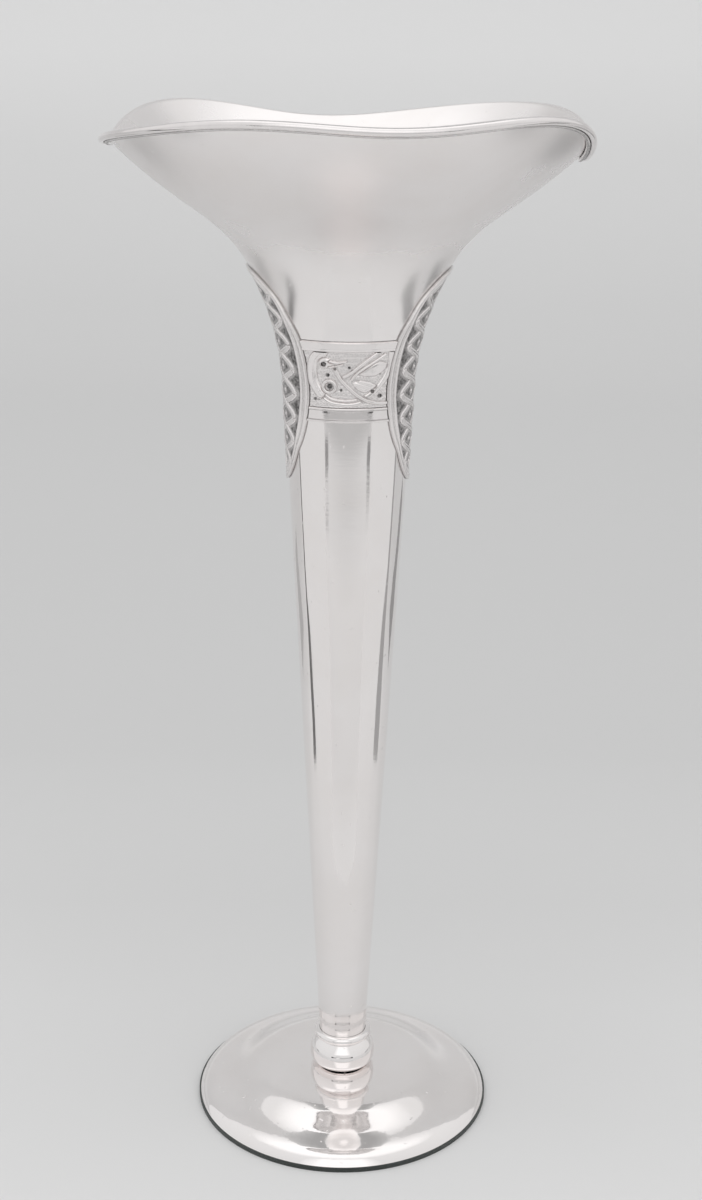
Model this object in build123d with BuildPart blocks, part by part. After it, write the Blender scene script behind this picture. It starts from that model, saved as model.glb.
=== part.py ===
from build123d import *
import os
from math import cos, pi, radians, sin, sqrt

os.makedirs("parts", exist_ok=True)

# Vase with a trumpet body, in millimetres and degrees, standing on the plane Z = 0.
# X runs across the front, -Y is the front, and Z is the vase's axis.

# Gaps
solder_gap = 0.08          # between two curved sheets that are soldered together
trim_gap = 0.1             # between the edges of two applied ornaments
loading_gap = 0.2          # round the loading in the foot
rim_gap = 0.15             # between the wavy sheet and the wire round it

# Body: one sheet, a tapering stem that opens into a flare
sheet = 0.8
stem_base_height = 18.0
stem_base_radius = 6.0
neck_height = 186.0
neck_radius = 14.95
crest_height = 254.0
crest_radius = 60.5
flare_height_shares = (0.14, 0.28, 0.41, 0.55, 0.68, 0.81)
flare_spread_shares = (0.015, 0.06, 0.137, 0.27, 0.507, 0.752)

# Ridges that part the broad front and back faces from the narrow side faces
ridge_angle = 41.0         # from the X axis
ridge_start_height = 104.0
ridge_full_height = 172.0
ridge_fade_height = 203.0
ridge_end_height = 213.0
front_flat_share = 0.065   # how far the middle of a face lies inside the ridges
side_flat_share = 0.035
mouth_lobe_share = 0.02

# Wavy mouth, a mean height and a sum of waves: how many go round, share of the rise, turn
mouth_height = 249.86
wave_rise = 2.3
wave_shares = (
    (1, 0.27, -95),
    (2, 1.0, -179),
    (3, 0.58, 115),
    (4, 0.97, 178),
    (5, 0.17, 163),
    (6, 0.27, 107),
)

# Reeded wire round the mouth
bead_radius = 0.85
reed_radius = 0.5
reed_spacing = 1.2
bead_drop = 0.35           # from the mouth's edge to where the bead touches the sheet

# Ornament round the neck
ground_thickness = 0.35
relief_height = 0.75
border_height = 0.95
border_width = 1.3
line_width = 0.55
spindle_bottom_height = 167.0
spindle_length = 52.5
spindle_half_width = 13.1
spindle_shares = (         # half width and height, from the top tip to the bottom tip
    (0, 1),
    (0.76, 0.914),
    (1, 0.686),
    (0.93, 0.38),
    (0.74, 0.143),
    (0, 0),
)
upper_strip_top = 202.6
upper_strip_height = 2.3
lower_strip_top = 187.2
lower_strip_height = 3.5
strand_width = 1.15
pellet_radius = 0.75
plait_loops = 5
plait_margin = 4.5
panel_half_width = 10.6
bird_strand_shares = (
    # neck and breast
    ((-0.50, 0.80), (-0.74, 0.66), (-0.84, 0.18), (-0.74, -0.25), (-0.30, -0.78), (0.10, -0.80), (0.36, -0.58)),
    # long diagonal strap
    ((0.57, 0.82), (0.22, 0.50), (-0.13, 0.12)),
    # leg that crosses under the wing
    ((-0.24, 0.34), (-0.14, -0.03), (0.06, -0.38), (0.32, -0.70), (0.78, -0.80)),
    # wing edge down the right side
    ((0.84, 0.78), (0.78, 0.40), (0.62, -0.10), (0.40, -0.48)),
    # beak
    ((-0.44, 0.60), (-0.26, 0.58), (-0.08, 0.62)),
    # upper feather
    ((0.16, 0.22), (0.42, 0.52), (0.66, 0.58)),
    # lower feather
    ((0.06, -0.14), (0.30, -0.02), (0.52, -0.22)),
)
pellet_shares = ((-0.54, 0.60), (-0.42, -0.27), (-0.50, 0.13), (-0.72, -0.68), (0.62, -0.52))

# Floor of the stem
floor_rise = 5.0
floor_thickness = 0.8

# Collar and knop
collar_height = 2.2
collar_radius = 7.4
collar_lap = 0.4
knop_base_height = 8.4
knop_base_radius = 5.2
knop_top_radius = 6.3
knop_radius = 8.4
knop_widest_height = 11.5
knop_bore = 3.4
knop_wall = 1.0

# Foot
foot_radius = 37.6
foot_wall = 0.8
foot_turn_in = 2.2
foot_shoulder_radius = 27.0
foot_shoulder_height = 6.0
foot_brow_radius = 34.0
foot_brow_height = 3.95
board_thickness = 1.2
felt_thickness = 1.2
felt_margin = 0.3


def finish(piece, name):
    """Labels a finished piece and writes its file."""
    piece.part.label = name
    export_step(piece.part, f"parts/{name}.step")


# Shape of the sheet

with BuildLine(Plane.XZ) as profile_line:
    stem_side = Line((stem_base_radius, stem_base_height), (neck_radius, neck_height))
    flare_side = Spline(
        (neck_radius, neck_height),
        *[
            (
                neck_radius + spread * (crest_radius - neck_radius),
                neck_height + rise * (crest_height - neck_height),
            )
            for rise, spread in zip(flare_height_shares, flare_spread_shares)
        ],
        (crest_radius, crest_height),
    )
flare_edge = profile_line.edges().sort_by(Axis.Z)[-1]
stem_slope = (neck_radius - stem_base_radius) / (neck_height - stem_base_height)


def side_profile(height):
    """Radius at the middle of a side face, and its growth with height."""
    if height <= neck_height:
        return neck_radius + (height - neck_height) * stem_slope, stem_slope
    low, high = 0.0, 1.0
    for _ in range(30):
        middle = (low + high) / 2
        if (flare_edge @ middle).Z < height:
            low = middle
        else:
            high = middle
    point, direction = flare_edge @ low, flare_edge % low
    return point.X, direction.X / direction.Z


def spread(start, end, count):
    """Evenly spread values from the start to the end."""
    return [start + (end - start) * step / count for step in range(count + 1)]


def ease(height, start, end):
    """Rises smoothly from 0 at the start height to 1 at the end height."""
    share = min(1, max(0, (height - start) / (end - start)))
    return share * share * (3 - 2 * share)


def face_shape(height):
    """Flatness of the front and side faces, and how crisp the ridges between them are."""
    grown = ease(height, ridge_start_height, ridge_full_height)
    crisp = 1 - ease(height, ridge_fade_height, ridge_end_height)
    lobed = mouth_lobe_share * ease(height, ridge_end_height, crest_height)
    return (
        front_flat_share * grown * crisp + lobed,
        side_flat_share * grown * crisp + lobed,
        crisp,
    )


def skin_point(height, offset):
    """Radius and height of a point that lies the offset outside the sheet's outer face."""
    radius, slope = side_profile(height)
    length = sqrt(1 + slope * slope)
    return radius + offset / length, height - offset * slope / length


def face_reach(height, radius, front, step):
    """How far a front or side face reaches at a step from its middle (0) to a ridge (1), and its growth."""
    front_flat, side_flat, crisp = face_shape(height)
    flat = front_flat if front else side_flat
    swell = crisp * step**2 + (1 - crisp) * sin(pi * step / 2) ** 2
    growth = 2 * crisp * step + (1 - crisp) * pi / 2 * sin(pi * step)
    ridge_radius = radius / (1 - side_flat)
    return ridge_radius * (1 - flat * (1 - swell)), ridge_radius * flat * growth


def girth(height, offset):
    """Outline of the body round a height, four faces that meet at the ridges, moved out by the offset."""
    radius, level = skin_point(height, offset)
    sides = []
    with BuildLine():
        for centre in (0, 90, 180, 270):
            front = centre in (90, 270)
            half_span = 90 - ridge_angle if front else ridge_angle
            points, tangents = [], []
            for step in spread(-1, 1, 6):
                angle = radians(centre + step * half_span)
                reach, growth = face_reach(height, radius, front, step)
                turn = growth / radians(half_span)
                points.append((reach * cos(angle), reach * sin(angle)))
                tangents.append(
                    (
                        turn * cos(angle) - reach * sin(angle),
                        turn * sin(angle) + reach * cos(angle),
                    )
                )
            ends = (tangents[0], tangents[-1])
            sides.append(Spline(*points, tangents=ends, tangent_scalars=(1, 1), mode=Mode.PRIVATE))
    return Face(Wire(sides)).moved(Location((0, 0, level)))


def skin(heights, offset, mode=Mode.ADD):
    """Solid inside the sheet's outer face moved out by the offset."""
    loft([girth(height, offset) for height in heights], mode=mode)


body_heights = (
    [stem_base_height, (stem_base_height + ridge_start_height) / 2]
    + spread(ridge_start_height, ridge_full_height, 3)
    + spread(neck_height, ridge_end_height, 4)
    + spread(ridge_end_height, crest_height, 8)[1:]
)


def mouth_edge(angle):
    """Height of the mouth's edge at an angle from the X axis."""
    return mouth_height + sum(
        wave_rise * share * cos(radians(count * angle - turn)) for count, share, turn in wave_shares
    )


wave_angles = range(0, 360, 10)

with BuildPart() as trumpet_body:
    skin(body_heights, 0)
    skin(body_heights, -sheet, Mode.SUBTRACT)
    with BuildLine() as inner_wave:
        Spline(
            *[
                (neck_radius * cos(radians(a)), neck_radius * sin(radians(a)), mouth_edge(a))
                for a in wave_angles
            ],
            periodic=True,
        )
    with BuildLine() as outer_wave:
        Spline(
            *[
                (
                    (crest_radius + neck_radius) * cos(radians(a)),
                    (crest_radius + neck_radius) * sin(radians(a)),
                    mouth_edge(a),
                )
                for a in wave_angles
            ],
            periodic=True,
        )
    wave = Face.make_surface_from_curves(inner_wave.edge(), outer_wave.edge())
    extrude(wave, amount=crest_height - mouth_height + 2 * neck_radius, dir=(0, 0, 1), mode=Mode.SUBTRACT)
finish(trumpet_body, "trumpet_body")

# Reeded wire round the mouth, its bead level with the edge and its reed below

def wire_section(angle):
    """Section of the wire across the mouth's edge at an angle from the X axis."""
    height = mouth_edge(angle) - bead_drop
    slope = side_profile(height)[1]
    tilt = sqrt(1 + slope * slope)
    radius, level = skin_point(height, rim_gap + bead_radius)
    reed_middle, reed_level = skin_point(height - reed_spacing / tilt, rim_gap + reed_radius)
    east, north = cos(radians(angle)), sin(radians(angle))
    from_side = abs((angle + 90) % 180 - 90)
    if from_side > ridge_angle:
        reach = face_reach(height, radius, True, (90 - from_side) / (90 - ridge_angle))[0]
    else:
        reach = face_reach(height, radius, False, from_side / ridge_angle)[0]
    place = Plane(
        origin=(reach * east, reach * north, level), x_dir=(east, north, 0), z_dir=(north, -east, 0)
    )
    with BuildSketch(place) as section:
        Circle(bead_radius)
        with Locations((reed_middle - radius, reed_level - level)):
            Circle(reed_radius)
    return section.sketch


half_turn = wave_angles[: len(wave_angles) // 2 + 1]
with BuildPart() as rim_wire:
    loft([wire_section(a) for a in half_turn])
    loft([wire_section(a + 180) for a in half_turn])
finish(rim_wire, "rim_wire")

# Floor that closes the stem, a disc turned to the stem's taper

floor_bottom = stem_base_height + floor_rise
floor_top = floor_bottom + floor_thickness
floor_fit = sheet * sqrt(1 + stem_slope * stem_slope) + solder_gap
with BuildPart() as stem_floor:
    with BuildSketch(Plane.XZ):
        Polygon(
            (0, floor_bottom),
            (side_profile(floor_bottom)[0] - floor_fit, floor_bottom),
            (side_profile(floor_top)[0] - floor_fit, floor_top),
            (0, floor_top),
            align=None,
        )
    revolve(axis=Axis.Z)
finish(stem_floor, "stem_floor")

# Collar, a half round ring over the joint of stem and knop

collar_top = stem_base_height + collar_lap
collar_bottom = collar_top - collar_height
collar_bore = side_profile(collar_top)[0] + solder_gap
with BuildPart() as stem_collar:
    with BuildSketch(Plane.XZ):
        with BuildLine():
            Polyline(
                (collar_bore, collar_top),
                (collar_bore, collar_bottom),
                (knop_top_radius, collar_bottom),
            )
            ThreePointArc(
                (knop_top_radius, collar_bottom),
                (collar_radius, collar_top - collar_height / 2),
                (knop_top_radius, collar_top),
            )
            Line((knop_top_radius, collar_top), (collar_bore, collar_top))
        make_face()
    revolve(axis=Axis.Z)
finish(stem_collar, "stem_collar")

# Knop, a hollow bulb between the stem and the foot

with BuildPart() as knop:
    with BuildSketch(Plane.XZ):
        with BuildLine():
            outer_side = Spline(
                (knop_base_radius, knop_base_height),
                (knop_radius, knop_widest_height),
                (knop_top_radius, collar_bottom),
                tangents=((1, 0), (0, 1), (-1, 1)),
            )
            Polyline(
                (knop_top_radius, collar_bottom),
                (collar_bore - solder_gap, collar_bottom),
                (collar_bore - solder_gap, stem_base_height),
                (knop_bore, stem_base_height),
                (knop_bore, collar_bottom),
            )
            Spline(
                (knop_bore, collar_bottom),
                (knop_radius - knop_wall, knop_widest_height),
                (knop_bore, knop_base_height),
                tangents=((1, -1), (0, -1), (-1, 0)),
            )
            Line((knop_bore, knop_base_height), (knop_base_radius, knop_base_height))
        make_face()
    revolve(axis=Axis.Z)
finish(knop, "knop")

# Foot, a shallow dome with its edge turned in under the rim

with BuildLine(Plane.XZ) as foot_line:
    foot_side = Spline(
        (foot_radius, felt_thickness),
        (foot_brow_radius, foot_brow_height),
        (foot_shoulder_radius, foot_shoulder_height),
        (knop_base_radius, knop_base_height),
        tangents=((0, 1), (-1, 0)),
    )


def foot_face(inset):
    """Half section of the foot down to the felt, inset from its outer side."""
    points = []
    for share in spread(0, 1, 8):
        point, direction = foot_side @ share, foot_side % share
        points.append((point.X - inset * direction.Z, point.Z + inset * direction.X))
    with BuildSketch(Plane.XZ) as section:
        with BuildLine():
            Spline(*points)
            Polyline(points[-1], (0, points[-1][1]), (0, felt_thickness), points[0])
        make_face()
    return section.sketch


opening_radius = foot_radius - foot_turn_in
lip_width = foot_turn_in - foot_wall
board_top = felt_thickness + board_thickness
with BuildPart() as foot:
    with BuildSketch(Plane.XZ):
        add(foot_face(0))
        add(foot_face(foot_wall), mode=Mode.SUBTRACT)
        with Locations((opening_radius + lip_width / 2, felt_thickness + foot_wall / 2)):
            Rectangle(lip_width, foot_wall)
    revolve(axis=Axis.Z)
finish(foot, "foot")

with BuildPart() as foot_filling:
    revolve(foot_face(foot_wall + loading_gap), axis=Axis.Z)
    with BuildSketch(Plane.XY):
        Circle(foot_radius)
    extrude(amount=board_top, mode=Mode.SUBTRACT)
finish(foot_filling, "foot_filling")

with BuildPart() as base_board:
    with BuildSketch(Plane.XY.offset(felt_thickness)):
        Circle(opening_radius - loading_gap)
    extrude(amount=board_thickness)
finish(base_board, "base_board")

with BuildPart() as felt_pad:
    with BuildSketch(Plane.XY):
        Circle(foot_radius + felt_margin)
    extrude(amount=felt_thickness)
finish(felt_pad, "felt_pad")


# Ornament round the neck, in layers that follow the sheet

prism_reach = 2 * crest_radius


def layer(low, high):
    """Ring of the ornament between two distances outside the sheet."""
    with BuildPart() as ring:
        skin(body_heights[1:-1], high)
        skin(body_heights, low, Mode.SUBTRACT)
    return ring.part


ground_layer = layer(solder_gap, solder_gap + ground_thickness)
relief_layer = layer(solder_gap + ground_thickness / 2, solder_gap + relief_height)
border_layer = layer(solder_gap, solder_gap + border_height)


with BuildLine(Plane.YZ) as spindle_line:
    spindle_side = Spline(
        *[
            (across * spindle_half_width, spindle_bottom_height + up * spindle_length)
            for across, up in spindle_shares
        ]
    )


def spindle(inset):
    """Pointed outline of a side ornament, inset from the outer side of its border."""
    top, bottom = spindle_side @ 0, spindle_side @ 1
    top_drop = inset / abs((spindle_side % 0).Y)
    bottom_rise = inset / abs((spindle_side % 1).Y)
    inner = []
    for share in spread(0, 1, 10)[1:-1]:
        point, direction = spindle_side @ share, spindle_side % share
        inner.append((point.Y + inset * direction.Z, point.Z - inset * direction.Y))
    with BuildSketch(Plane.YZ) as outline:
        with BuildLine():
            for side in (-1, 1):
                Spline(
                    (0, top.Z - top_drop),
                    *[(side * across, height) for across, height in inner],
                    (0, bottom.Z + bottom_rise),
                )
        make_face()
    return outline.sketch


def band(low, high):
    """Upright rectangle across the front between two heights."""
    with BuildSketch(Plane.XZ) as outline:
        with Locations((0, (low + high) / 2)):
            Rectangle(2 * neck_radius, high - low)
    return outline.sketch


def cut_out(outline, reach, *openings):
    """Keeps what lies under the outline, up to the reach, and cuts the openings right across."""
    extrude(outline, amount=reach, mode=Mode.INTERSECT)
    for opening in openings:
        extrude(opening, amount=prism_reach, both=True, mode=Mode.SUBTRACT)


# Borders of the two side ornaments

with BuildPart() as left_border:
    add(border_layer)
    cut_out(spindle(0), -prism_reach, spindle(border_width))
finish(left_border, "left_border")

# Relief of the side ornaments, two strands that cross and pellets between them


def plait_half(height):
    """How far a strand swings from the middle at a height."""
    low, high = 0.0, 1.0
    for _ in range(20):
        middle = (low + high) / 2
        if (spindle_side @ middle).Z > height:
            low = middle
        else:
            high = middle
    return (spindle_side @ low).Y - border_width - strand_width


def plait():
    """Outline of the plait and its pellets, seen from the side."""
    bottom = spindle_bottom_height + plait_margin
    loop = (spindle_length - 2 * plait_margin) / plait_loops
    with BuildSketch(Plane.YZ) as outline:
        for side in (-1, 1):
            with BuildLine():
                points = []
                for step in range(4 * plait_loops + 1):
                    height = bottom + step * loop / 4
                    points.append((side * plait_half(height) * sin(pi * step / 4), height))
                Spline(*points)
            trace(line_width=strand_width)
        for turn in range(plait_loops):
            with Locations((0, bottom + (turn + 1 / 2) * loop)):
                Circle(pellet_radius)
    return outline.sketch


with BuildPart() as left_relief:
    add(relief_layer)
    cut_out(plait(), -prism_reach)
    extrude(spindle(border_width + trim_gap), amount=-prism_reach, mode=Mode.INTERSECT)

with BuildPart() as left_panel:
    add(ground_layer)
    cut_out(spindle(border_width + trim_gap), -prism_reach)
    add(left_relief)
finish(left_panel, "left_panel")

# Strips above and below the front panel, between the two borders

upper_strip_bottom = upper_strip_top - upper_strip_height
lower_strip_bottom = lower_strip_top - lower_strip_height

with BuildPart() as front_upper_strip:
    add(border_layer)
    cut_out(band(upper_strip_bottom, upper_strip_top), prism_reach, spindle(-trim_gap))
finish(front_upper_strip, "front_upper_strip")

channel_layer = layer(solder_gap + ground_thickness, solder_gap + border_height + trim_gap)
with BuildPart() as channel:
    add(channel_layer)
    cut_out(band(lower_strip_bottom + line_width, lower_strip_top - line_width), prism_reach)

with BuildPart() as front_lower_strip:
    add(border_layer)
    cut_out(band(lower_strip_bottom, lower_strip_top), prism_reach, spindle(-trim_gap))
    add(channel, mode=Mode.SUBTRACT)
finish(front_lower_strip, "front_lower_strip")

# Front panel, a ground plate with the raised ornament

panel_top = upper_strip_bottom - trim_gap
panel_bottom = lower_strip_top + trim_gap
panel_middle = (panel_top + panel_bottom) / 2
panel_half_height = (panel_top - panel_bottom) / 2

with BuildPart() as front_relief:
    add(relief_layer)
    with BuildSketch(Plane.XZ):
        for points in bird_strand_shares:
            with BuildLine():
                Spline(
                    *[
                        (across * panel_half_width, panel_middle + up * panel_half_height)
                        for across, up in points
                    ]
                )
            trace(line_width=strand_width)
        for across, up in pellet_shares:
            with Locations((across * panel_half_width, panel_middle + up * panel_half_height)):
                Circle(pellet_radius)
    extrude(amount=prism_reach, mode=Mode.INTERSECT)
    cut_out(band(panel_bottom, panel_top), prism_reach, spindle(-trim_gap))

with BuildPart() as front_panel:
    add(ground_layer)
    cut_out(band(panel_bottom, panel_top), prism_reach, spindle(-trim_gap))
    add(front_relief)
finish(front_panel, "front_panel")

# The back and the right side repeat the front and the left side, half a turn round

for piece, name in (
    (front_panel, "back_panel"),
    (front_upper_strip, "back_upper_strip"),
    (front_lower_strip, "back_lower_strip"),
    (left_panel, "right_panel"),
    (left_border, "right_border"),
):
    with BuildPart() as turned:
        add(piece.part.rotate(Axis.Z, 180))
    finish(turned, name)
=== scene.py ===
import math
import bpy
import numpy as np
from mathutils import Matrix, Vector


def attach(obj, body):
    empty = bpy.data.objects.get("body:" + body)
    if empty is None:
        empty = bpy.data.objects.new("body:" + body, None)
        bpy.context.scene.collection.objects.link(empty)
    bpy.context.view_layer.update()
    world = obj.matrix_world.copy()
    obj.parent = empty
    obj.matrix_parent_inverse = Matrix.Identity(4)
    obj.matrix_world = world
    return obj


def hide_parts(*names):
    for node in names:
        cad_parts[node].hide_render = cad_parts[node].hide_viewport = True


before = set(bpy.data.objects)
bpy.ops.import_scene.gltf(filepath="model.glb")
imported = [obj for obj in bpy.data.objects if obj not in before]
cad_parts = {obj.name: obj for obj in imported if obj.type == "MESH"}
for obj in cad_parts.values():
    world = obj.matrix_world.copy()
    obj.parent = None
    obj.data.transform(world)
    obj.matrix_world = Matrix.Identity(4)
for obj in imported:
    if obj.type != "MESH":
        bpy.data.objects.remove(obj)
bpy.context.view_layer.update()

# Sizes of the vase in millimetres, the same as in the CAD source
SHEET = 0.8
STEM_Z, STEM_R = 18.0, 6.0
NECK_Z, NECK_R = 186.0, 14.95
CREST_Z, CREST_R = 254.0, 60.5
FLARE_RISE = np.array([0, 0.14, 0.28, 0.41, 0.55, 0.68, 0.81, 1])
FLARE_SPREAD = np.array([0, 0.015, 0.06, 0.137, 0.27, 0.507, 0.752, 1])
RIDGE = 41.0
RIDGE_START, RIDGE_FULL, RIDGE_FADE, RIDGE_END = 104.0, 172.0, 203.0, 213.0
FRONT_FLAT, SIDE_FLAT, LOBE = 0.065, 0.035, 0.02
MOUTH, WAVE = 249.86, 2.3
WAVES = ((1, 0.27, -95), (2, 1.0, -179), (3, 0.58, 115), (4, 0.97, 178), (5, 0.17, 163), (6, 0.27, 107))
BEAD, REED, SPACING, DROP, RIM_GAP = 0.85, 0.5, 1.2, 0.35, 0.15
MM = 0.001


def spline_through(px, pz, count):
    """Dense points of a smooth parametric curve through the given ones."""
    knots = np.concatenate([[0], np.cumsum(np.hypot(np.diff(px), np.diff(pz)))])
    n = len(knots)
    gaps = np.diff(knots)
    out = []
    t = np.linspace(0, knots[-1], count)
    for values in (px, pz):
        a = np.zeros((n, n))
        b = np.zeros(n)
        for i in range(1, n - 1):
            a[i, i - 1], a[i, i], a[i, i + 1] = gaps[i - 1], 2 * (gaps[i - 1] + gaps[i]), gaps[i]
            b[i] = 6 * ((values[i + 1] - values[i]) / gaps[i] - (values[i] - values[i - 1]) / gaps[i - 1])
        a[0, 0] = a[-1, -1] = 1
        if n > 3:
            # the end curvatures carry on from their neighbours
            a[0, 0], a[0, 1], a[0, 2] = gaps[1], -(gaps[0] + gaps[1]), gaps[0]
            a[-1, -1], a[-1, -2], a[-1, -3] = gaps[-2], -(gaps[-1] + gaps[-2]), gaps[-1]
        m = np.linalg.solve(a, b)
        i = np.clip(np.searchsorted(knots, t, side="right") - 1, 0, n - 2)
        h, lo, hi = gaps[i], knots[i + 1] - t, t - knots[i]
        out.append(
            m[i] * lo**3 / (6 * h)
            + m[i + 1] * hi**3 / (6 * h)
            + (values[i] / h - m[i] * h / 6) * lo
            + (values[i + 1] / h - m[i + 1] * h / 6) * hi
        )
    return out


flare_r, flare_z = spline_through(
    NECK_R + FLARE_SPREAD * (CREST_R - NECK_R), NECK_Z + FLARE_RISE * (CREST_Z - NECK_Z), 6000
)
flare_slope = np.gradient(flare_r, flare_z)
STEM_SLOPE = (NECK_R - STEM_R) / (NECK_Z - STEM_Z)


def profile(z):
    """Radius at the middle of a side face, and its growth with height."""
    r = np.interp(z, flare_z, flare_r)
    s = np.interp(z, flare_z, flare_slope)
    # below the neck the stem is a plain cone
    low = z < NECK_Z
    r = np.where(low, NECK_R + (z - NECK_Z) * STEM_SLOPE, r)
    s = np.where(low, STEM_SLOPE, s)
    return r, s


def ease(z, start, end):
    """Rises smoothly from 0 at the start to 1 at the end."""
    share = np.clip((z - start) / (end - start), 0, 1)
    return share * share * (3 - 2 * share)


def skin(angle, z, offset=0.0):
    """Points of the body at angles in degrees from the X axis and at heights, moved out by the offset."""
    angle, z, offset = np.broadcast_arrays(*(np.asarray(values, float) for values in (angle, z, offset)))
    r, slope = profile(z)
    length = np.sqrt(1 + slope * slope)
    radius = r + offset / length
    level = z - offset * slope / length
    grown = ease(z, RIDGE_START, RIDGE_FULL)
    crisp = 1 - ease(z, RIDGE_FADE, RIDGE_END)
    lobed = LOBE * ease(z, RIDGE_END, CREST_Z)
    side = np.abs((angle + 90) % 180 - 90)
    front = side > RIDGE
    step = np.where(front, (90 - side) / (90 - RIDGE), side / RIDGE)
    side_flat = SIDE_FLAT * grown * crisp + lobed
    flat = np.where(front, FRONT_FLAT * grown * crisp + lobed, side_flat)
    swell = crisp * step**2 + (1 - crisp) * np.sin(np.pi * step / 2) ** 2
    reach = radius / (1 - side_flat) * (1 - flat * (1 - swell))
    a = np.radians(angle)
    return np.stack([reach * np.cos(a), reach * np.sin(a), level], -1)


def mouth_edge(angle):
    """Height of the mouth's wavy edge."""
    return MOUTH + sum(WAVE * share * np.cos(np.radians(count * angle - turn)) for count, share, turn in WAVES)


def make_mesh(name, points, faces):
    """A smooth mesh object from points in millimetres."""
    mesh = bpy.data.meshes.new(name)
    mesh.from_pydata((np.asarray(points).reshape(-1, 3) * MM).tolist(), [], faces)
    mesh.validate()
    mesh.update()
    mesh.shade_smooth()
    mesh.set_sharp_from_angle(angle=math.radians(55))
    thing = bpy.data.objects.new(name, mesh)
    bpy.context.scene.collection.objects.link(thing)
    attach(thing, "root")
    return thing


def tube_faces(rows, columns, close_rows):
    """Quads between rows of points that each run once round."""
    faces = []
    count = rows if close_rows else rows - 1
    for i in range(count):
        a, b = i * columns, ((i + 1) % rows) * columns
        for j in range(columns):
            k = (j + 1) % columns
            faces.append((a + j, a + k, b + k, b + j))
    return faces


def set_oxide_and_shade(thing, values):
    """Darkness at each point, from 0 to 1: oxide in chased hollows, darkness in the wire's grooves, and painted
    shade on walls, slopes and undersides.
    """
    tint = thing.data.attributes.new("oxide_and_shade", "FLOAT", "POINT")
    tint.data.foreach_set("value", values.astype(np.float32))


# Body, its outer and inner sides and the lip of its mouth

UPPER_Z = 225  # from here up the rows follow the mouth's wave
LIP_DROP = 0.15  # keeps the lip below the top of the wire
LIP_SWELL = 0.05


def round_angles(per_face):
    """Angles once round, evenly within each of the four faces and with a line on each ridge."""
    out = []
    for centre, half in ((0, RIDGE), (90, 90 - RIDGE), (180, RIDGE), (270, 90 - RIDGE)):
        out.extend(centre + half * (2 * k / per_face - 1) for k in range(per_face))
    return np.array(out)


angles = round_angles(56)
edge = mouth_edge(angles) - LIP_DROP
stem_rows = np.concatenate(
    [np.linspace(STEM_Z, 100, 40), np.linspace(102, 186, 60), np.linspace(187, UPPER_Z, 48)]
)
upper = np.linspace(0, 1, 46)[1:]
rows = [skin(angles, z) for z in stem_rows]
edge_slope = profile(edge)[1]
drop = SHEET * edge_slope / np.sqrt(1 + edge_slope**2)
rows += [skin(angles, UPPER_Z + (edge - UPPER_Z) * share) for share in upper]
rows += [skin(angles, edge + LIP_SWELL - share * drop, -SHEET * share) for share in (0.2, 0.5, 0.8)]
rows += [skin(angles, UPPER_Z + (edge - drop - UPPER_Z) * share, -SHEET) for share in upper[::-1]]
rows += [skin(angles, z, -SHEET) for z in stem_rows[::-1]]
faces = tube_faces(len(rows), len(angles), True)
body = make_mesh("vase_body", np.array(rows), faces)
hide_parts("trumpet_body")

# Reeded wire round the mouth, darker in its grooves, with painted shade on the reed's underside

GROOVE_DARK, UNDERSIDE_PAINTED_SHADE = 0.85, 0.6
around = np.arange(0, 360, 1.0)
wire_rows = []
level = mouth_edge(around) - DROP
_, slope = profile(level)
tilt = np.sqrt(1 + slope**2)
bead = skin(around, level, RIM_GAP + BEAD)
reed = skin(around, level - SPACING / tilt, RIM_GAP + REED)
bead_r, reed_r = np.hypot(bead[:, 0], bead[:, 1]), np.hypot(reed[:, 0], reed[:, 1])
dr, dz = reed_r - bead_r, reed[:, 2] - bead[:, 2]
apart, toward = np.hypot(dr, dz), np.arctan2(dz, dr)
on_bead = np.arccos((apart**2 + BEAD**2 - REED**2) / (2 * apart * BEAD))
on_reed = np.arccos((apart**2 + REED**2 - BEAD**2) / (2 * apart * REED))
east, north = np.cos(np.radians(around)), np.sin(np.radians(around))
groove = []
for share in np.linspace(0, 1, 26):
    turn = toward + on_bead + share * (2 * np.pi - 2 * on_bead)
    r, z = bead_r + BEAD * np.cos(turn), bead[:, 2] + BEAD * np.sin(turn)
    wire_rows.append(np.stack([r * east, r * north, z], -1))
    groove.append(np.full(len(around), GROOVE_DARK * (1 - ease(min(share, 1 - share), 0.03, 0.10))))
for share in np.linspace(0, 1, 18)[1:-1]:
    turn = toward - (np.pi - on_reed) + share * 2 * (np.pi - on_reed)
    r, z = reed_r + REED * np.cos(turn), reed[:, 2] + REED * np.sin(turn)
    wire_rows.append(np.stack([r * east, r * north, z], -1))
    beside = GROOVE_DARK * (1 - ease(min(share, 1 - share), 0.07, 0.16))
    # painted shade where the reed faces down, unless the groove beside it is darker
    groove.append(np.maximum(beside, UNDERSIDE_PAINTED_SHADE * (np.sin(turn) < -0.7)))
faces = tube_faces(len(wire_rows), len(around), True)
rim = make_mesh("reeded_rim", np.array(wire_rows), faces)
set_oxide_and_shade(rim, np.concatenate(groove))
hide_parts("rim_wire")

# Ornament round the neck: heights are in millimetres outside the sheet

GAP, GROUND, CUT = 0.08, 0.28, 0.20
STRAP_WIDTH, PANEL_INSET = 1.3, 1.4
BORDER_Y = np.array([0, 5.0, 9.2, 11.0, 12.2, 13.0, 13.35, 13.1, 12.65, 12.2, 11.5, 10.2, 9.0, 7.3, 4.6, 0])
BORDER_Z = np.array([
    218.0, 217.6, 216.2, 214.3, 211.9, 208.5, 204.5, 200.0,
    193.7, 187.0, 182.0, 177.2, 174.4, 171.4, 168.9, 167.2,
])
FAR = 99.0  # stands for no distance found yet


def angle_at(across, z, front):
    """Angle from the middle of a front or side face to a point that lies so far across it."""
    turn = np.zeros(np.broadcast(across, z).shape)
    for _ in range(6):
        point = skin(90 + turn if front else turn, z)
        reach = np.hypot(point[..., 0], point[..., 1])
        turn = np.degrees(np.arcsin(np.clip(across / reach, -1, 1)))
    return turn


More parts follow.
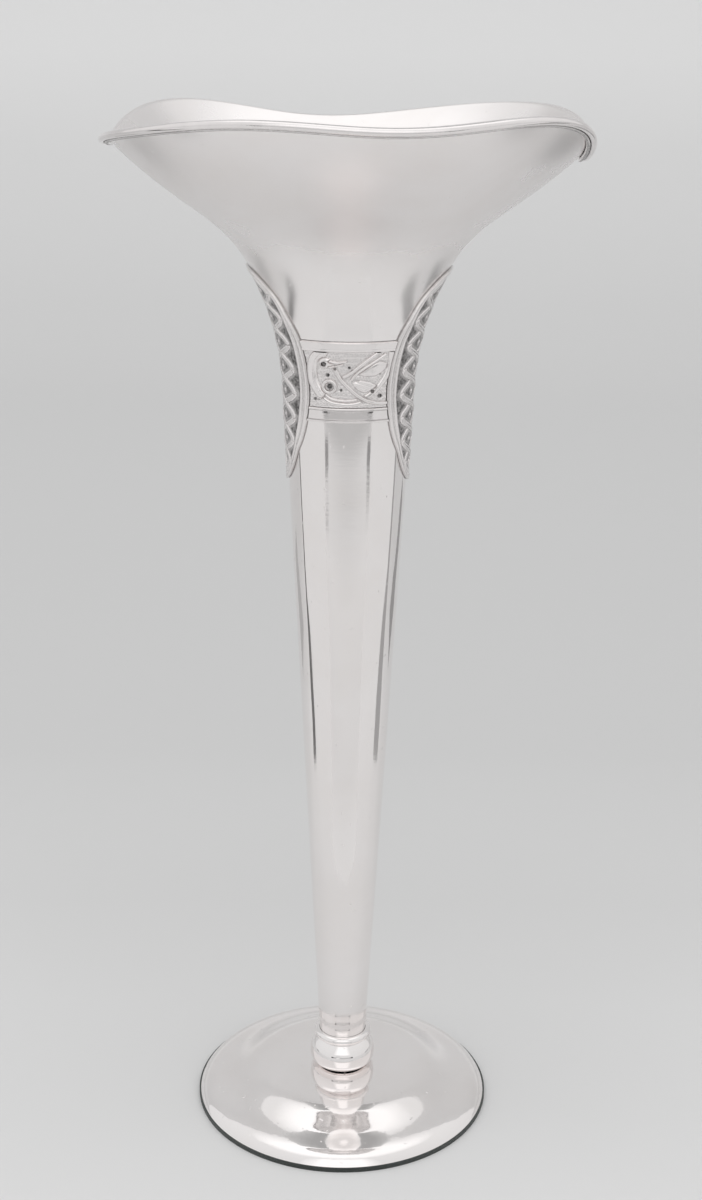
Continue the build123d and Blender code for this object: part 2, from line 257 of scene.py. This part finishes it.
def even(y, z, count):
    """Points spread evenly along a line."""
    run = np.concatenate([[0], np.cumsum(np.hypot(np.diff(y), np.diff(z)))])
    at = np.linspace(0, run[-1], count)
    return np.interp(at, run, y), np.interp(at, run, z)


outline_y, outline_z = spline_through(BORDER_Y, BORDER_Z, 900)


def inset_outline(width, count):
    """Half of the side ornament's outline, moved inwards."""
    dy, dz = np.gradient(outline_y), np.gradient(outline_z)
    length = np.hypot(dy, dz)
    y, z = outline_y + width * dz / length, outline_z - width * dy / length
    keep = y > 0.01
    y, z = y[keep], z[keep]
    return even(np.concatenate([[0], y, [0]]), np.concatenate([[z[0]], z, [z[-1]]]), count)


def half_width(z, width):
    """Half of the side ornament's width at a height, with its outline moved inwards."""
    y, level = inset_outline(width, 500)
    return np.interp(z, level[::-1], y[::-1])


def lay(height, far, width, top, soften=0.35, gutter=0.16):
    """Lays a rounded strand over what is there, with a cut line along each side of it."""
    half = width / 2
    rise = np.clip((half - far) / soften, 0, 1)
    strand = GROUND + (top - GROUND) * np.sqrt(1 - (1 - rise) ** 2)
    beside = (far >= half) & (far < half + gutter)
    height = np.where(beside, np.minimum(height, CUT), height)
    return np.where(far < half, strand, height)


def off_line(points, x, z):
    """Distance from a smooth line, with square ends."""
    px, pz = np.array(points, float).T
    if len(points) > 2:
        px, pz = spline_through(px, pz, 30)
    out = np.full(x.shape, FAR)
    for i in range(len(px) - 1):
        dx, dz = px[i + 1] - px[i], pz[i + 1] - pz[i]
        t = ((x - px[i]) * dx + (z - pz[i]) * dz) / (dx * dx + dz * dz)
        near = np.clip(t, 0, 1)
        d = np.hypot(x - px[i] - near * dx, z - pz[i] - near * dz)
        beyond = ((i == 0) & (t < 0)) | ((i == len(px) - 2) & (t > 1))
        out = np.minimum(out, np.where(beyond, FAR, d))
    return out


def inside(points, x, z):
    """Depth inside a closed smooth outline, below 0 outside it."""
    ring = np.array(points + points[:2], float)
    px, pz = spline_through(ring[:, 0], ring[:, 1], 80)
    far = np.full(x.shape, FAR)
    odd = np.zeros(x.shape, bool)
    for i in range(len(px) - 1):
        dx, dz = px[i + 1] - px[i], pz[i + 1] - pz[i]
        t = np.clip(((x - px[i]) * dx + (z - pz[i]) * dz) / (dx * dx + dz * dz), 0, 1)
        far = np.minimum(far, np.hypot(x - px[i] - t * dx, z - pz[i] - t * dz))
    corner = np.array(points, float)
    for a, b in zip(corner, np.roll(corner, -1, 0)):
        cross = (a[1] > z) != (b[1] > z)
        odd ^= cross & (x < (b[0] - a[0]) * (z - a[1]) / (b[1] - a[1] + 1e-12) + a[0])
    return np.where(odd, far, -far)


def stipple(x, z, step, size):
    """Punched dots on a jittered grid, 1 in a dot and 0 between them."""
    out = np.zeros(x.shape)
    cell_x, cell_z = np.floor(x / step), np.floor(z / step)
    for i in (-1, 0, 1):
        for j in (-1, 0, 1):
            cx, cz = cell_x + i, cell_z + j
            wander = np.sin(cx * 12.9 + cz * 78.2) * 43758.5
            shift_x, shift_z = np.modf(wander)[0] * 0.3, np.modf(wander * 1.7)[0] * 0.3
            d = np.hypot(x - (cx + 0.5 + shift_x) * step, z - (cz + 0.5 + shift_z) * step)
            out = np.maximum(out, np.clip(1 - d / size, 0, 1))
    return out


# Lines and outlines of the bird: millimetres across the face, and heights

NECK = ((-5.2, 200.1), (-7.0, 199.4), (-7.9, 197.9), (-8.1, 195.5), (-7.85, 193.5), (-7.05, 191.7), (-5.9, 190.2))
BELLY = ((-6.7, 190.8), (-5.5, 189.4), (-3.9, 188.45), (-1.6, 188.05), (0.9, 188.05), (3.1, 188.7))
BELLY_INNER = ((-5.9, 191.6), (-4.9, 190.2), (-3.6, 189.35), (-1.6, 188.98), (0.4, 189.0), (2.6, 189.6))
WING = ((9.6, 200.6), (9.4, 197.9), (8.9, 195.7), (7.8, 193.5), (6.1, 191.4), (3.6, 189.6))
LEG = (
    (-3.5, 197.2), (-2.6, 195.5), (-1.5, 193.7), (0.1, 192.0),
    (1.8, 190.4), (3.8, 189.1), (6.0, 188.4), (9.4, 188.3),
)
STRAP = ((7.0, 200.5), (4.8, 198.9), (2.8, 197.3), (0.9, 195.7), (-1.2, 194.4))
STRAP_LOW = ((8.4, 199.8), (5.9, 198.1), (3.8, 196.75), (1.9, 195.3), (0.7, 193.7))
UPPER_LEAF = [
    (1.6, 195.2), (3.1, 196.2), (5.0, 197.4), (7.1, 198.0), (8.5, 197.6),
    (8.4, 196.5), (7.3, 195.4), (5.9, 194.7), (3.7, 194.7),
]
LOWER_LEAF = [
    (0.9, 193.2), (2.8, 193.7), (4.7, 193.3), (6.2, 192.5),
    (5.0, 191.4), (3.6, 190.8), (2.2, 191.4), (1.3, 192.4),
]
# holes, each with its radius; the first two are the eye and the middle of the ring
HOLES = (
    (-5.38, 197.52, 0.55), (-4.17, 192.2, 0.75), (-4.65, 194.8, 0.55), (-2.95, 196.4, 0.25),
    (-7.4, 189.1, 0.45), (7.1, 189.9, 0.6), (7.1, 195.0, 0.3), (5.3, 191.2, 0.4),
    (-6.6, 189.0, 0.25), (0.2, 196.6, 0.45), (-1.6, 191.4, 0.4),
)


def bird(x, z):
    """The interlaced bird of the front and back: height and darkness."""
    dots = stipple(x, z, 0.62, 0.34)
    height = GROUND - 0.12 * dots
    height = lay(height, off_line(WING, x, z), 1.15, 0.62)
    for leaf, top in ((UPPER_LEAF, 0.58), (LOWER_LEAF, 0.48)):
        depth = inside(leaf, x, z)
        rise = np.clip(depth / 0.9, 0, 1)
        veins = 0.05 * np.cos(2 * np.pi * (x * 0.35 + z) / 0.9) if leaf is LOWER_LEAF else 0.0
        leaf_height = GROUND + (top - GROUND + veins) * np.sqrt(1 - (1 - rise) ** 2)
        height = np.where(depth > 0, leaf_height, height)
        height = np.where((depth <= 0) & (depth > -0.2), 0.16, height)
    height = lay(height, off_line(BELLY_INNER, x, z), 0.55, 0.6, 0.25)
    height = lay(height, off_line(BELLY, x, z), 0.95, 0.72)
    height = lay(height, off_line(STRAP_LOW, x, z), 0.6, 0.62, 0.25)
    height = lay(height, off_line(STRAP, x, z), 0.75, 0.75, 0.3, 0.3)
    height = lay(height, off_line(LEG, x, z), 0.8, 0.7, 0.3, 0.3)
    neck = off_line(NECK, x, z)
    height = lay(height, neck, 2.1, 0.82, 0.7, 0.22)
    height = np.where(np.abs(off_line([(a + 0.45, b) for a, b in NECK], x, z)) < 0.09, height - 0.12, height)
    head = np.hypot((x + 5.0) / 1.25, z - 197.7)
    height = lay(height, head, 2.5, 0.85, 0.8, 0.2)
    height = lay(height, off_line(((-4.2, 198.15), (-2.3, 197.85), (-0.4, 198.2)), x, z), 0.5, 0.75, 0.22)
    height = lay(height, off_line(((-4.3, 196.75), (-2.9, 196.95), (-1.2, 197.5)), x, z), 0.4, 0.7, 0.2)
    ring = np.abs(np.hypot(x + 4.17, z - 192.2) - 1.35)
    height = lay(height, ring, 0.75, 0.8, 0.3, 0.14)
    for cx, cz, radius in HOLES:
        d = np.hypot(x - cx, z - cz)
        height = np.where(d < radius, np.minimum(height, 0.1), height)
    dark = np.clip((0.3 - height) * 1.6, 0, 0.3)
    for cx, cz, radius in HOLES[:2]:
        d = np.hypot(x - cx, z - cz)
        height = np.where(d < radius * 0.35, 0.5, height)
    for cx, cz, radius in HOLES:
        dark = np.maximum(dark, np.clip((radius - np.hypot(x - cx, z - cz)) / 0.2, 0, 0.95))
    return height, dark


def knotwork(y, z):
    """The two plaits of a side, each of two strands that pass over and under each other, with pellets."""
    low, high, loops = 169.6, 215.4, 4
    strand, pellet, margin = 1.3, 0.9, 0.5
    loop = (high - low) / loops
    dots = stipple(y, z, 0.7, 0.36)
    height = 0.32 - 0.05 * dots
    pieces = []
    clear = np.full(z.shape, FAR)
    for k in range(2 * loops + 1):
        t = np.linspace(max(k - 0.5, 0), min(k + 0.5, 2 * loops), 9)
        level = low + t * loop / 2
        wide = half_width(level, STRAP_WIDTH) - margin
        for plait in (-1, 1):
            for side in (-1, 1):
                swing = wide * (0.5 * plait + 0.42 * side * np.sin(np.pi * t))
                over = (k % 2 == 0) == (side > 0)
                pieces.append((over, list(zip(swing, level))))
    for cz in low + (np.arange(2 * loops) + 0.5) * loop / 2:
        middle = 0.5 * (half_width(np.array([cz]), STRAP_WIDTH)[0] - margin)
        far = np.hypot(np.abs(y) - middle, z - cz)
        height = lay(height, far, pellet, 0.5, 0.3)
        clear = np.minimum(clear, far - pellet / 2)
    for over, line in sorted(pieces, key=lambda piece: piece[0]):
        far = off_line(line, y, z)
        height = lay(height, far, strand, 0.56 if over else 0.5, 0.3, 0.14)
        height = np.where(far < 0.09, height - 0.08, height)
        clear = np.minimum(clear, far - strand / 2)
    return height, 0.45 * ease(clear, -0.02, 0.12) + 0.35 * ease(clear, 0.3, 0.8)


def closed_plate(name, top, bottom, shade, replaced):
    """A thin plate between two grids of points, with its walls."""
    rows, columns = top.shape[:2]
    count = rows * columns
    index = np.arange(count).reshape(rows, columns)
    quads = np.stack([index[:-1, :-1], index[:-1, 1:], index[1:, 1:], index[1:, :-1]], -1).reshape(-1, 4)
    rim_line = np.concatenate([index[0, :-1], index[:-1, -1], index[-1, :0:-1], index[:0:-1, 0]])
    after = np.roll(rim_line, -1)
    walls = np.stack([rim_line, rim_line + count, after + count, after], -1)
    faces = np.concatenate([quads, quads[:, ::-1] + count, walls]).tolist()
    points = np.concatenate([top.reshape(-1, 3), bottom.reshape(-1, 3)])
    thing = make_mesh(name, points, faces)
    # the underside is given full darkness, so the walls darken towards the body: painted shade where each plate
    # meets it
    set_oxide_and_shade(thing, np.concatenate([shade.ravel(), np.ones(count)]))
    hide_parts(replaced)
    return thing


def plate(name, middle, low, high, edge_turn, rows, columns, pattern, replaced):
    """A plate on one face from height low to high; edge_turn gives the angle from its middle to its side."""
    z = np.linspace(low, high, rows)[:, None]
    turn = edge_turn(z) * np.linspace(-1, 1, columns)[None, :]
    z = np.broadcast_to(z, turn.shape)
    base = skin(middle + turn, z)
    half_turned = middle in (0, 90)
    x, y = (-base[..., 0], -base[..., 1]) if half_turned else (base[..., 0], base[..., 1])
    height, shade = pattern(x if middle in (90, -90) else y, z)
    return closed_plate(name, skin(middle + turn, z, height), skin(middle + turn, z, GAP), shade, replaced)


def side_turn(z):
    """Angle from the middle of a side to the edge of its plate."""
    return angle_at(half_width(z, PANEL_INSET), z, False)


def front_turn(z):
    """Angle from the middle of the front to just outside the border."""
    return 90 - angle_at(half_width(z, -0.1), z, False)


def smooth_strip(low, high, lip):
    """A strip with rounded edges, and with a channel sunk between two lips where lip is true, and painted shade
    on the lips' slopes into the channel.
    """
    def shape(x, z):
        up, down = (high - z), (z - low)
        edge = np.minimum(up, down)
        height = 0.25 + 0.4 * np.sqrt(1 - (1 - np.clip(edge / 0.3, 0, 1)) ** 2)
        if lip:
            height = height - 0.36 * (ease(down, 0.5, 0.75) * ease(up, 0.5, 0.75))
        else:
            height = height + 0.12 * (1 - ease(down, 0.3, 0.7))
        # painted shade on the slopes from the lips down into the channel
        line = ease(edge, 0.48, 0.6) * (1 - ease(edge, 0.66, 0.8)) if lip else 0.0 * edge
        return height, 0.55 * line
    return shape


def border(name, middle, replaced):
    """The strap round a side ornament, two rounded lines with a groove between them."""
    outer, inner = inset_outline(0, 150), inset_outline(STRAP_WIDTH, 150)
    shape = (
        (0, GAP), (0, 0.5), (0.08, 0.68), (0.2, 0.76), (0.34, 0.7), (0.44, 0.52),
        (0.54, 0.52), (0.64, 0.7), (0.78, 0.76), (0.92, 0.66), (1, 0.45), (1, GAP),
    )
    rows, shade = [], []
    for share, height in shape:
        y, z = (a + share * (b - a) for a, b in zip(outer, inner))
        y, z = np.concatenate([y, -y[-2:0:-1]]), np.concatenate([z, z[-2:0:-1]])
        rows.append(skin(middle + angle_at(y, z, False), z, height))
        # painted shade at the foot of the walls, where the strap meets the body, and a little darkness where the
        # strap is low, in its groove and at its edges
        shade.append(np.full(len(y), 0.3 if height == GAP else np.clip((0.55 - height) * 4, 0, 0.2)))
    thing = make_mesh(name, np.array(rows), tube_faces(len(rows), len(rows[0]), True))
    set_oxide_and_shade(thing, np.concatenate(shade))
    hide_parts(replaced)
    return thing


UPPER_STRIP, LOWER_STRIP = (200.3, 202.6), (183.7, 187.2)
ornament = []
for middle, side in ((-90, "front"), (90, "back")):
    low, high = LOWER_STRIP[1] + GAP, UPPER_STRIP[0] - GAP
    plain, channelled = smooth_strip(*UPPER_STRIP, False), smooth_strip(*LOWER_STRIP, True)
    ornament += [
        plate(f"{side}_bird", middle, low, high, front_turn, 120, 196, bird, f"{side}_panel"),
        plate(f"{side}_upper_band", middle, *UPPER_STRIP, front_turn, 24, 90, plain, f"{side}_upper_strip"),
        plate(f"{side}_lower_band", middle, *LOWER_STRIP, front_turn, 34, 90, channelled, f"{side}_lower_strip"),
    ]
side_levels = inset_outline(PANEL_INSET, 50)[1]
low, high = side_levels[-1] + 0.25, side_levels[0] - 0.12  # short of the ends, where the plate has no width
for middle, side in ((180, "left"), (0, "right")):
    ornament += [
        border(f"{side}_strap", middle, f"{side}_border"),
        plate(f"{side}_knotwork", middle, low, high, side_turn, 280, 120, knotwork, f"{side}_panel"),
    ]

# Materials


def node_tree(name):
    mat = bpy.data.materials.new(name)
    mat.use_nodes = True
    tree = mat.node_tree
    tree.nodes.clear()
    out = tree.nodes.new("ShaderNodeOutputMaterial")
    shader = tree.nodes.new("ShaderNodeBsdfPrincipled")
    tree.links.new(shader.outputs[0], out.inputs[0])
    return mat, tree, shader


def add_noise(tree, vector, scale, detail=3.0, rough=0.5, distort=0.0):
    node = tree.nodes.new("ShaderNodeTexNoise")
    node.inputs["Scale"].default_value = scale
    node.inputs["Detail"].default_value = detail
    node.inputs["Roughness"].default_value = rough
    node.inputs["Distortion"].default_value = distort
    tree.links.new(vector, node.inputs["Vector"])
    return node.outputs[0]


def stretched(tree, coords, scale):
    node = tree.nodes.new("ShaderNodeMapping")
    node.inputs["Scale"].default_value = scale
    tree.links.new(coords, node.inputs["Vector"])
    return node.outputs[0]


def span(tree, value, lo, hi, out_lo, out_hi):
    node = tree.nodes.new("ShaderNodeMapRange")
    for socket, number in zip(node.inputs[1:5], (lo, hi, out_lo, out_hi)):
        socket.default_value = number
    tree.links.new(value, node.inputs[0])
    return node.outputs[0]


def blend_color(tree, factor, a, b):
    node = tree.nodes.new("ShaderNodeMix")
    node.data_type = "RGBA"
    for socket, value in ((node.inputs[6], a), (node.inputs[7], b)):
        if hasattr(value, "is_linked"):
            tree.links.new(value, socket)
        else:
            socket.default_value = (*value, 1)
    tree.links.new(factor, node.inputs[0])
    return node.outputs[2]


def bump(tree, height, strength, distance, normal=None):
    node = tree.nodes.new("ShaderNodeBump")
    node.inputs["Strength"].default_value = strength
    node.inputs["Distance"].default_value = distance
    tree.links.new(height, node.inputs["Height"])
    if normal is not None:
        tree.links.new(normal, node.inputs["Normal"])
    return node.outputs[0]


SILVER = (0.945, 0.918, 0.912)
TARNISHED = tuple(value * share for value, share in zip(SILVER, (0.955, 0.945, 0.935)))


def polished(name, dents=1.0):
    """Hand-finished silver: soft unevenness, fine scratches, a few pits and a breath of tarnish."""
    mat, tree, shader = node_tree(name)
    place = tree.nodes.new("ShaderNodeTexCoord").outputs["Object"]
    cloud = add_noise(tree, place, 38, 4, 0.55, 0.4)
    fine = add_noise(tree, stretched(tree, place, (900, 900, 160)), 1.0, 2, 0.6)
    slant = add_noise(tree, stretched(tree, place, (240, 500, 1400)), 1.0, 2, 0.6)
    pits = add_noise(tree, place, 700, 1, 0.4)
    tarnish = span(tree, cloud, 0.35, 0.75, 0.0, 1.0)
    shader.inputs["Metallic"].default_value = 1.0
    tree.links.new(blend_color(tree, tarnish, SILVER, TARNISHED), shader.inputs["Base Color"])
    # the stem is burnished, and the flare keeps the soft grain of its planishing
    height = tree.nodes.new("ShaderNodeSeparateXYZ")
    tree.links.new(place, height.inputs[0])
    soft = tree.nodes.new("ShaderNodeMath")
    soft.operation = "ADD"
    tree.links.new(span(tree, cloud, 0.3, 0.7, 0.04, 0.09), soft.inputs[0])
    tree.links.new(span(tree, height.outputs[2], 0.195, 0.225, 0.0, 0.22 * dents), soft.inputs[1])
    tree.links.new(soft.outputs[0], shader.inputs["Roughness"])
    wide = add_noise(tree, place, 26, 1.5, 0.4)
    normal = bump(tree, wide, 0.22 * dents, 0.004)
    normal = bump(tree, fine, 0.012, 0.0004, normal)
    normal = bump(tree, slant, 0.010, 0.0004, normal)
    normal = bump(tree, span(tree, pits, 0.74, 0.80, 0.0, -1.0), 0.25, 0.0002, normal)
    tree.links.new(normal, shader.inputs["Normal"])
    return mat


def oxide_and_shade_metal(name, rough):
    """Chased silver, with dark oxide left in its hollows and painted shade, both read from each point's darkness.
    """
    mat, tree, shader = node_tree(name)
    place = tree.nodes.new("ShaderNodeTexCoord").outputs["Object"]
    hollow = tree.nodes.new("ShaderNodeAttribute")
    hollow.attribute_name = "oxide_and_shade"
    grain = add_noise(tree, place, 1500, 3, 0.6)
    patch = add_noise(tree, place, 300, 2, 0.5)
    mixed = tree.nodes.new("ShaderNodeMath")
    mixed.operation = "MULTIPLY"
    tree.links.new(hollow.outputs["Fac"], mixed.inputs[0])
    tree.links.new(span(tree, grain, 0.3, 0.6, 0.6, 1.15), mixed.inputs[1])
    worn = blend_color(tree, patch, (0.94, 0.905, 0.90), (0.86, 0.83, 0.82))
    # the same near-black stands for oxide and for painted shade
    oxide = (0.03, 0.028, 0.027)
    tree.links.new(blend_color(tree, mixed.outputs[0], worn, oxide), shader.inputs["Base Color"])
    tree.links.new(span(tree, mixed.outputs[0], 0, 1, rough, 0.5), shader.inputs["Roughness"])
    tree.links.new(span(tree, mixed.outputs[0], 0, 1, 1.0, 0.3), shader.inputs["Metallic"])
    tree.links.new(bump(tree, grain, 0.05, 0.0003), shader.inputs["Normal"])
    return mat


def felt():
    mat, tree, shader = node_tree("short_felt")
    place = tree.nodes.new("ShaderNodeTexCoord").outputs["Object"]
    fuzz = add_noise(tree, place, 2600, 4, 0.7)
    patch = add_noise(tree, place, 160, 3, 0.6)
    color = blend_color(tree, patch, (0.018, 0.024, 0.021), (0.045, 0.054, 0.050))
    tree.links.new(color, shader.inputs["Base Color"])
    shader.inputs["Roughness"].default_value = 0.95
    shader.inputs["Sheen Weight"].default_value = 0.25
    tree.links.new(bump(tree, fuzz, 0.8, 0.0006), shader.inputs["Normal"])
    return mat


def dull(name, low, high, scale, rough):
    mat, tree, shader = node_tree(name)
    place = tree.nodes.new("ShaderNodeTexCoord").outputs["Object"]
    grain = add_noise(tree, place, scale, 4, 0.6)
    tree.links.new(blend_color(tree, grain, low, high), shader.inputs["Base Color"])
    shader.inputs["Roughness"].default_value = rough
    tree.links.new(bump(tree, grain, 0.4, 0.0005), shader.inputs["Normal"])
    return mat


def paint(thing, mat):
    thing.data.materials.clear()
    thing.data.materials.append(mat)


silver = polished("polished_silver")
small_silver = polished("polished_silver_small", 0.25)
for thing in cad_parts.values():
    paint(thing, small_silver)
paint(body, silver)
chased, burnished = oxide_and_shade_metal("oxidised_silver_with_painted_shade", 0.14), oxide_and_shade_metal("burnished_strips", 0.07)
for piece in ornament:
    paint(piece, burnished if "band" in piece.name else chased)
paint(rim, burnished)
paint(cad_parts["foot"], silver)
paint(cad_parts["felt_pad"], felt())
cast = dull("cast_filling", (0.16, 0.13, 0.11), (0.30, 0.26, 0.22), 300, 0.9)
paint(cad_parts["foot_filling"], cast)
board = dull("grey_board", (0.32, 0.31, 0.28), (0.46, 0.44, 0.40), 900, 0.85)
paint(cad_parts["base_board"], board)

# Camera, fitted to the photograph

EYE = (0.0011116, -0.413429, 0.271317)
PITCH_DOWN, ROLL = 0.314944, 0.010146
camera = bpy.data.cameras.new("camera")
camera.lens = 53.495
camera.sensor_width = 36
camera.clip_start, camera.clip_end = 0.01, 20
eye = bpy.data.objects.new("camera", camera)
bpy.context.scene.collection.objects.link(eye)
eye.matrix_world = (
    Matrix.Translation(EYE)
    @ Matrix.Rotation(math.pi / 2 - PITCH_DOWN, 4, "X")
    @ Matrix.Rotation(ROLL, 4, "Z")
)
bpy.context.scene.camera = eye

# Stage: a paper sweep

PAPER_FRONT, PAPER_TURN, PAPER_BEND, PAPER_TOP, PAPER_SIDE = -1.6, 0.9, 0.5, 2.2, 2.2
COLUMNS = 9
sweep_rows = [(y, 0.0) for y in np.linspace(PAPER_FRONT, PAPER_TURN, 26)]
for turn in np.linspace(0, math.pi / 2, 17)[1:]:
    sweep_rows.append((PAPER_TURN + PAPER_BEND * math.sin(turn), PAPER_BEND - PAPER_BEND * math.cos(turn)))
sweep_rows.append((PAPER_TURN + PAPER_BEND, PAPER_TOP))
points = [(x, y, z) for y, z in sweep_rows for x in np.linspace(-PAPER_SIDE, PAPER_SIDE, COLUMNS)]
faces = [
    (i * COLUMNS + j, i * COLUMNS + j + 1, (i + 1) * COLUMNS + j + 1, (i + 1) * COLUMNS + j)
    for i in range(len(sweep_rows) - 1)
    for j in range(COLUMNS - 1)
]


def stage_mesh(name, points, faces):
    mesh = bpy.data.meshes.new(name)
    mesh.from_pydata(points, [], faces)
    mesh.shade_smooth()
    thing = bpy.data.objects.new(name, mesh)
    bpy.context.scene.collection.objects.link(thing)
    return thing


def grey_ramp(tree, value, low, high, stops):
    """Greys at values between low and high."""
    node = tree.nodes.new("ShaderNodeValToRGB")
    tree.links.new(span(tree, value, low, high, 0.0, 1.0), node.inputs[0])
    elements = node.color_ramp.elements
    while len(elements) < len(stops):
        elements.new(0.5)
    for element, (at, grey) in zip(elements, stops):
        element.position = (at - low) / (high - low)
        element.color = (grey, grey, grey, 1)
    return node.outputs[0]


def calculate(tree, operation, *values):
    node = tree.nodes.new("ShaderNodeMath")
    node.operation = operation
    for socket, value in zip(node.inputs, values):
        if hasattr(value, "is_linked"):
            tree.links.new(value, socket)
        else:
            socket.default_value = value
    return node.outputs[0]


def split_place(tree):
    place = tree.nodes.new("ShaderNodeTexCoord").outputs["Object"]
    node = tree.nodes.new("ShaderNodeSeparateXYZ")
    tree.links.new(place, node.inputs[0])
    return node.outputs


# greys of the paper by how far back and up it is, y + z in metres: painted shade over the middle of the floor,
# painted light at the front and up the sweep
PAPER = (
    (-0.12, 0.65), (-0.045, 0.654), (0.044, 0.629), (0.105, 0.579), (0.23, 0.537), (0.42, 0.549),
    (0.74, 0.584), (1.146, 0.628), (1.425, 0.695), (1.572, 0.77), (1.645, 0.78), (2.2, 0.76), (3.6, 0.84),
)
sweep = stage_mesh("paper_sweep", points, faces)
mat, tree, shader = node_tree("pale_paper")
x, y, z = split_place(tree)
paper = grey_ramp(tree, calculate(tree, "ADD", y, z), -0.2, 3.7, PAPER)
tree.links.new(paper, shader.inputs["Base Color"])
shader.inputs["Roughness"].default_value = 0.9
shader.inputs["Specular IOR Level"].default_value = 0.0
sweep.data.materials.append(mat)


# Cards for the shapes that the silver reflects in the photograph

ON_PAPER, ON_CARD = 0.0006, 0.0012


def mirror_card(name, points, stops, axis, low, high):
    """A glowing card that only the silver's reflections show, a painted reflection; its greys run along x, the
    same both ways, or along y.
    """
    thing = stage_mesh(name, points, [(0, 1, 2, 3)])
    thing.visible_camera = thing.visible_diffuse = thing.visible_shadow = thing.visible_transmission = False
    mat, tree, shader = node_tree(name + "_grey")
    value = split_place(tree)[axis]
    if axis == 0:
        value = calculate(tree, "ABSOLUTE", value)
    tree.links.new(grey_ramp(tree, value, low, high, stops), shader.inputs["Emission Color"])
    shader.inputs["Emission Strength"].default_value = 1.0
    shader.inputs["Base Color"].default_value = (0, 0, 0, 1)
    shader.inputs["Specular IOR Level"].default_value = 0.0
    thing.data.materials.append(mat)


def floor_card(name, points, grey, z=ON_PAPER):
    """A card of one grey that lies flat, on the paper or on another card."""
    mirror_card(name, [(x, y, z) for x, y in points], ((0.0, grey), (0.7, grey)), 0, -0.05, 0.75)


def sector(side, first, last, near, far):
    """Corners between two angles from the front and two distances from the vase."""
    corners = []
    for turn, reach in ((first, near), (first, far), (last, far), (last, near)):
        corners.append((side * reach * math.sin(math.radians(turn)), -reach * math.cos(math.radians(turn))))
    return corners


# the stem's middle strip, with what stands at its far end
near, far, spread = 0.10, 0.53, math.tan(math.radians(37))
mirror_card(
    "front_shade",
    [
        (-near * spread, -near, ON_PAPER), (near * spread, -near, ON_PAPER),
        (far * spread, -far, ON_PAPER), (-far * spread, -far, ON_PAPER),
    ],
    ((-0.53, 0.51), (-0.49, 0.555), (-0.459, 0.62), (-0.43, 0.68), (-0.34, 0.735), (-0.18, 0.70), (-0.10, 0.745)),
    1, -0.6, 0.0,
)
mirror_card(
    "front_dark",
    [(-far * spread, -far, 0), (far * spread, -far, 0), (far * spread, -far, 0.07), (-far * spread, -far, 0.07)],
    ((0.0, 0.53), (0.29, 0.50), (0.31, 0.10), (0.4, 0.08)), 0, -0.05, 0.5,
)
# the dark bar at the front of the foot
mirror_card(
    "high_shade", [(-0.19, 0.34, 1.0), (0.19, 0.34, 1.0), (0.19, 0.80, 1.0), (-0.19, 0.80, 1.0)],
    ((0.0, 0.40), (0.12, 0.40), (0.19, 0.60)), 0, -0.05, 0.4,
)
# the lines beside the middle strip
for side, name in ((-1, "left"), (1, "right")):
    floor_card(name + "_line", sector(side, 31.5, 36.5, 0.455, 0.53), 0.28, ON_CARD)
# the light on the knop
mirror_card(
    "front_light", [(-0.55, -0.9, 0.35), (0.55, -0.9, 0.35), (0.55, -0.9, 1.3), (-0.55, -0.9, 1.3)],
    ((0.0, 1.1), (0.3, 1.1), (0.55, 0.8)), 0, -0.05, 1.0,
)
# the lines along the ridges
for side, name, first, last, grey in ((-1, "left", 88, 98, 0.16), (1, "right", 85, 104, 0.36)):
    floor_card(name + "_edge", sector(side, first, last, 0.205, 0.62), grey)
# the shades near the ends of the mouth
floor_card("left_corner_shade", [(-0.20, 0.20), (-0.28, 0.17), (-0.34, 0.36), (-0.26, 0.38)], 0.42)
floor_card("right_corner_shade", [(0.22, 0.18), (0.31, 0.18), (0.38, 0.46), (0.30, 0.46)], 0.3)

# Light: a pale sky, brightest overhead, and one broad lamp

SKY = ((-0.9, 0.7), (0.25, 0.76), (0.6, 0.79), (0.77, 0.81), (0.89, 1.08), (1.0, 1.08))
world = bpy.data.worlds.new("tent")
bpy.context.scene.world = world
world.use_nodes = True
sky = world.node_tree
sky.nodes.clear()
out = sky.nodes.new("ShaderNodeOutputWorld")
glow = sky.nodes.new("ShaderNodeBackground")
sky.links.new(glow.outputs[0], out.inputs[0])
aim = sky.nodes.new("ShaderNodeTexCoord").outputs["Generated"]
aim_split = sky.nodes.new("ShaderNodeSeparateXYZ")
sky.links.new(aim, aim_split.inputs[0])
depth = calculate(sky, "ABSOLUTE", aim_split.outputs[1])
lean = calculate(sky, "MULTIPLY_ADD", depth, -0.12, aim_split.outputs[2])
sky.links.new(grey_ramp(sky, lean, -1.1, 1.1, SKY), glow.inputs["Color"])
glow.inputs["Strength"].default_value = 1.03


def lamp(name, place, aim, size, power):
    """An area lamp that points from its place to its aim."""
    data = bpy.data.lights.new(name, "AREA")
    data.shape = "RECTANGLE"
    data.size, data.size_y = size
    data.energy = power
    thing = bpy.data.objects.new(name, data)
    bpy.context.scene.collection.objects.link(thing)
    thing.location = place
    thing.rotation_euler = (Vector(aim) - Vector(place)).to_track_quat("-Z", "Y").to_euler()
    return thing


top_light = lamp("soft_top", (-0.075, -0.2, 1.5), (-0.075, -0.2, 0.0), (1.75, 1.0), 8.3)
top_light.visible_glossy = False  # or it clips on the foot

bpy.context.scene.view_settings.view_transform = "Standard"
